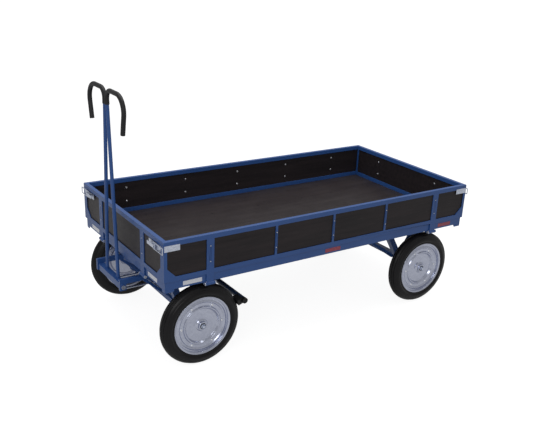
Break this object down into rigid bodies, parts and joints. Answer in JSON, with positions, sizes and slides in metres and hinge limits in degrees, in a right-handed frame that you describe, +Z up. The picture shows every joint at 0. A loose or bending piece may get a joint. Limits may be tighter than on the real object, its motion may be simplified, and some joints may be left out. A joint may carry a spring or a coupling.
{
  "type": "platform trailer",
  "caption": "Blue steel hand-drawn platform trailer with hinged drop sides, dark plywood deck, black tyres on zinc rims and an upright drawbar with hooked grips.",
  "frame": {"origin": "centre of the bounding box on the floor the wheels stand on", "axes": "+X towards the rear, with the drawbar at -X; +Y towards the right-hand side; +Z up"},
  "size_m": [2.1336, 1.053, 1.374],
  "materials": {
    "blue_paint": "satin blue powder coat on steel",
    "zinc": "bright zinc plate with a faint spangle",
    "tyre_rubber": "smooth black solid rubber",
    "grip_rubber": "matt black rubber sleeve",
    "shoe_rubber": "black brake rubber",
    "deck_film": "dark brown film-faced plywood, lightly meshed",
    "panel_film": "black-brown film-faced plywood",
    "white_reflector": "white reflective film",
    "red_reflector": "red reflective film"
  },
  "bodies": {
    "chassis": {"side_rails": "blue_paint", "end_rails": "blue_paint", "cross_members": "blue_paint", "corner_feet": "blue_paint", "hinge_lugs": "blue_paint", "hinge_pins": "zinc", "deck": "deck_film", "deck_screws": "zinc", "white_reflectors": "white_reflector", "red_reflectors": "red_reflector", "upper_ring": "zinc", "ring_balls": "zinc", "rear_axle": "blue_paint", "rear_axle_legs": "blue_paint", "rear_axle_nuts": "zinc"},
    "turntable": {"lower_ring": "zinc", "steering_beams": "blue_paint", "steering_arms": "blue_paint", "front_axle": "blue_paint", "front_axle_legs": "blue_paint", "front_axle_nuts": "zinc", "drawbar_bolts": "zinc"},
    "drawbar": {"drawbar_foot": "blue_paint", "drawbar_tubes": "blue_paint", "hand_grips": "grip_rubber"},
    "brake": {"brake_bar": "blue_paint", "brake_shoes": "shoe_rubber", "brake_rods": "zinc"},
    "wheel_front_left": {"tyre_front_left": "tyre_rubber", "rim_front_left": "zinc"},
    "wheel_front_right": {"tyre_front_right": "tyre_rubber", "rim_front_right": "zinc"},
    "wheel_rear_left": {"tyre_rear_left": "tyre_rubber", "rim_rear_left": "zinc"},
    "wheel_rear_right": {"tyre_rear_right": "tyre_rubber", "rim_rear_right": "zinc"},
    "left_board": {"left_frame": "blue_paint", "left_panel": "panel_film", "left_bolts": "zinc", "left_strikes": "zinc"},
    "right_board": {"right_frame": "blue_paint", "right_panel": "panel_film", "right_bolts": "zinc", "right_strikes": "zinc"},
    "front_board": {"front_frame": "blue_paint", "front_panel": "panel_film", "front_bolts": "zinc", "front_latch_plates": "zinc"},
    "rear_board": {"rear_frame": "blue_paint", "rear_panel": "panel_film", "rear_bolts": "zinc", "rear_latch_plates": "zinc"},
    "latch_lever_front_left": {"lever_front_left": "zinc"},
    "latch_bail_front_left": {"bail_front_left": "zinc"},
    "latch_lever_front_right": {"lever_front_right": "zinc"},
    "latch_bail_front_right": {"bail_front_right": "zinc"},
    "latch_lever_rear_left": {"lever_rear_left": "zinc"},
    "latch_bail_rear_left": {"bail_rear_left": "zinc"},
    "latch_lever_rear_right": {"lever_rear_right": "zinc"},
    "latch_bail_rear_right": {"bail_rear_right": "zinc"}
  },
  "joints": [
    {"name": "steering", "type": "hinge", "parent": "chassis", "child": "turntable", "pos_m": [-0.76375, 0, 0.43], "axis": [0, 0, 1], "range_deg": [-15, 15]},
    {"name": "drawbar_fold", "type": "hinge", "parent": "turntable", "child": "drawbar", "pos_m": [-1.04875, 0, 0.366], "axis": [0, -1, 0], "range_deg": [0, 105]},
    {"name": "brake_slide", "type": "slide", "parent": "turntable", "child": "brake", "axis": [1, 0, 0], "range_m": [0, 0.015]},
    {"name": "wheel_front_left_spin", "type": "hinge", "parent": "turntable", "child": "wheel_front_left", "pos_m": [-0.76375, -0.4646, 0.2236], "axis": [0, 1, 0], "continuous": true},
    {"name": "wheel_front_right_spin", "type": "hinge", "parent": "turntable", "child": "wheel_front_right", "pos_m": [-0.76375, 0.4646, 0.2236], "axis": [0, 1, 0], "continuous": true},
    {"name": "wheel_rear_left_spin", "type": "hinge", "parent": "chassis", "child": "wheel_rear_left", "pos_m": [0.76625, -0.4646, 0.2236], "axis": [0, 1, 0], "continuous": true},
    {"name": "wheel_rear_right_spin", "type": "hinge", "parent": "chassis", "child": "wheel_rear_right", "pos_m": [0.76625, 0.4646, 0.2236], "axis": [0, 1, 0], "continuous": true},
    {"name": "left_board_drop", "type": "hinge", "parent": "chassis", "child": "left_board", "pos_m": [0.03125, -0.517, 0.466], "axis": [1, 0, 0], "range_deg": [0, 160]},
    {"name": "right_board_drop", "type": "hinge", "parent": "chassis", "child": "right_board", "pos_m": [0.03125, 0.517, 0.466], "axis": [-1, 0, 0], "range_deg": [0, 160]},
    {"name": "front_board_drop", "type": "hinge", "parent": "chassis", "child": "front_board", "pos_m": [-0.98575, 0, 0.466], "axis": [0, -1, 0], "range_deg": [0, 5]},
    {"name": "rear_board_drop", "type": "hinge", "parent": "chassis", "child": "rear_board", "pos_m": [1.04825, 0, 0.466], "axis": [0, 1, 0], "range_deg": [0, 160]},
    {"name": "latch_lever_front_left_swing", "type": "hinge", "parent": "front_board", "child": "latch_lever_front_left", "pos_m": [-0.99675, -0.44, 0.688], "axis": [0, 0, 1], "range_deg": [0, 120]},
    {"name": "latch_bail_front_left_swing", "type": "hinge", "parent": "latch_lever_front_left", "child": "latch_bail_front_left", "pos_m": [-0.99675, -0.425, 0.688], "axis": [0, 0, 1], "range_deg": [-150, 0]},
    {"name": "latch_lever_front_right_swing", "type": "hinge", "parent": "front_board", "child": "latch_lever_front_right", "pos_m": [-0.99675, 0.44, 0.688], "axis": [0, 0, -1], "range_deg": [0, 120]},
    {"name": "latch_bail_front_right_swing", "type": "hinge", "parent": "latch_lever_front_right", "child": "latch_bail_front_right", "pos_m": [-0.99675, 0.425, 0.688], "axis": [0, 0, -1], "range_deg": [-150, 0]},
    {"name": "latch_lever_rear_left_swing", "type": "hinge", "parent": "rear_board", "child": "latch_lever_rear_left", "pos_m": [1.05925, -0.44, 0.688], "axis": [0, 0, -1], "range_deg": [0, 120]},
    {"name": "latch_bail_rear_left_swing", "type": "hinge", "parent": "latch_lever_rear_left", "child": "latch_bail_rear_left", "pos_m": [1.05925, -0.425, 0.688], "axis": [0, 0, -1], "range_deg": [-150, 0]},
    {"name": "latch_lever_rear_right_swing", "type": "hinge", "parent": "rear_board", "child": "latch_lever_rear_right", "pos_m": [1.05925, 0.44, 0.688], "axis": [0, 0, 1], "range_deg": [0, 120]},
    {"name": "latch_bail_rear_right_swing", "type": "hinge", "parent": "latch_lever_rear_right", "child": "latch_bail_rear_right", "pos_m": [1.05925, 0.425, 0.688], "axis": [0, 0, 1], "range_deg": [-150, 0]}
  ],
  "couplings": [
    {"joint": "brake_slide", "follows": "drawbar_fold", "m_per_rad": 0.008185},
    {"joint": "latch_bail_front_left_swing", "follows": "latch_lever_front_left_swing", "ratio": -1.25},
    {"joint": "latch_bail_front_right_swing", "follows": "latch_lever_front_right_swing", "ratio": -1.25},
    {"joint": "latch_bail_rear_left_swing", "follows": "latch_lever_rear_left_swing", "ratio": -1.25},
    {"joint": "latch_bail_rear_right_swing", "follows": "latch_lever_rear_right_swing", "ratio": -1.25}
  ]
}
